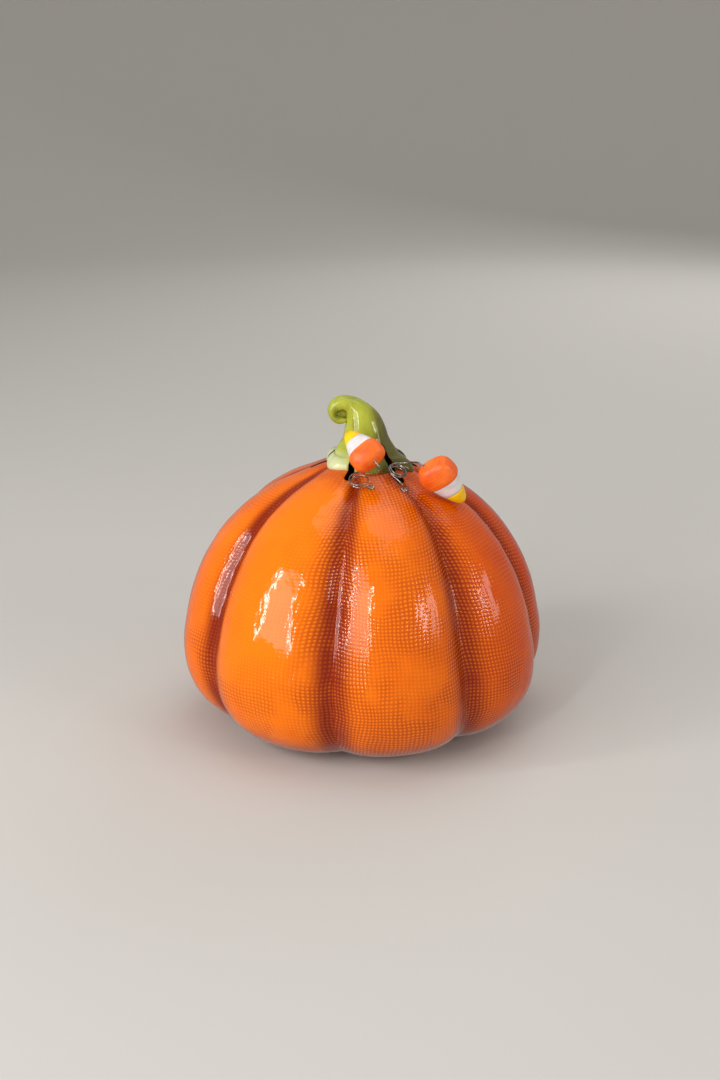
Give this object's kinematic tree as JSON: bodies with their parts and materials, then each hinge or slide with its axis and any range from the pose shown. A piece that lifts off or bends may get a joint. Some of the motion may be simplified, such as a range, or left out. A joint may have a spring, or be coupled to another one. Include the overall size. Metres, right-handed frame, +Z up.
{
  "type": "ceramic pumpkin lantern",
  "caption": "Glazed ceramic pumpkin lantern with a curled green stem, vent slots, a rear doorway for a tealight and two clay candy corns on curled wires.",
  "frame": {"origin": "centre of the pumpkin's footprint, on the surface it stands on", "axes": "+Z up along the stem axis; -Y towards the viewer, the side with the two candy corns; +Y out through the tealight doorway"},
  "size_m": [0.1809, 0.1793, 0.165],
  "materials": {
    "orange_glaze": "gloss",
    "green_glaze": "gloss",
    "orange_clay": "satin",
    "white_clay": "satin",
    "yellow_clay": "satin",
    "steel_wire": "satin",
    "clear_glue": "gloss",
    "aluminium_foil": "satin",
    "wax": "satin",
    "tinplate": "satin",
    "waxed_cotton": "matte"
  },
  "bodies": {
    "pumpkin": {"body_shell": "orange_glaze", "stem": "green_glaze", "left_wire": "steel_wire", "right_wire": "steel_wire", "left_wire_anchor": "clear_glue", "right_wire_anchor": "clear_glue"},
    "left_corn": {"left_corn_base": "orange_clay", "left_corn_band": "white_clay", "left_corn_tip": "yellow_clay", "left_corn_glue": "clear_glue"},
    "right_corn": {"right_corn_base": "orange_clay", "right_corn_band": "white_clay", "right_corn_tip": "yellow_clay", "right_corn_glue": "clear_glue"},
    "tealight": {"tealight_cup": "aluminium_foil", "tealight_wax": "wax", "tealight_wick": "waxed_cotton", "wick_sustainer": "tinplate"}
  },
  "joints": [
    {"name": "left_corn_sway", "type": "hinge", "parent": "pumpkin", "child": "left_corn", "pos_m": [0.002, -0.0265, 0.1295], "axis": [0, 1, 0], "range_deg": [-12, 12], "stiffness_Nm_per_rad": 0.08, "deforming": ["left_wire"]},
    {"name": "right_corn_lift", "type": "hinge", "parent": "pumpkin", "child": "right_corn", "pos_m": [0.0165, -0.0185, 0.1325], "axis": [0, -1, 0], "range_deg": [0, 20], "stiffness_Nm_per_rad": 0.08, "deforming": ["right_wire"]},
    {"name": "tealight_slide", "type": "slide", "parent": "pumpkin", "child": "tealight", "axis": [0, 1, 0], "range_m": [0, 0.12]}
  ]
}
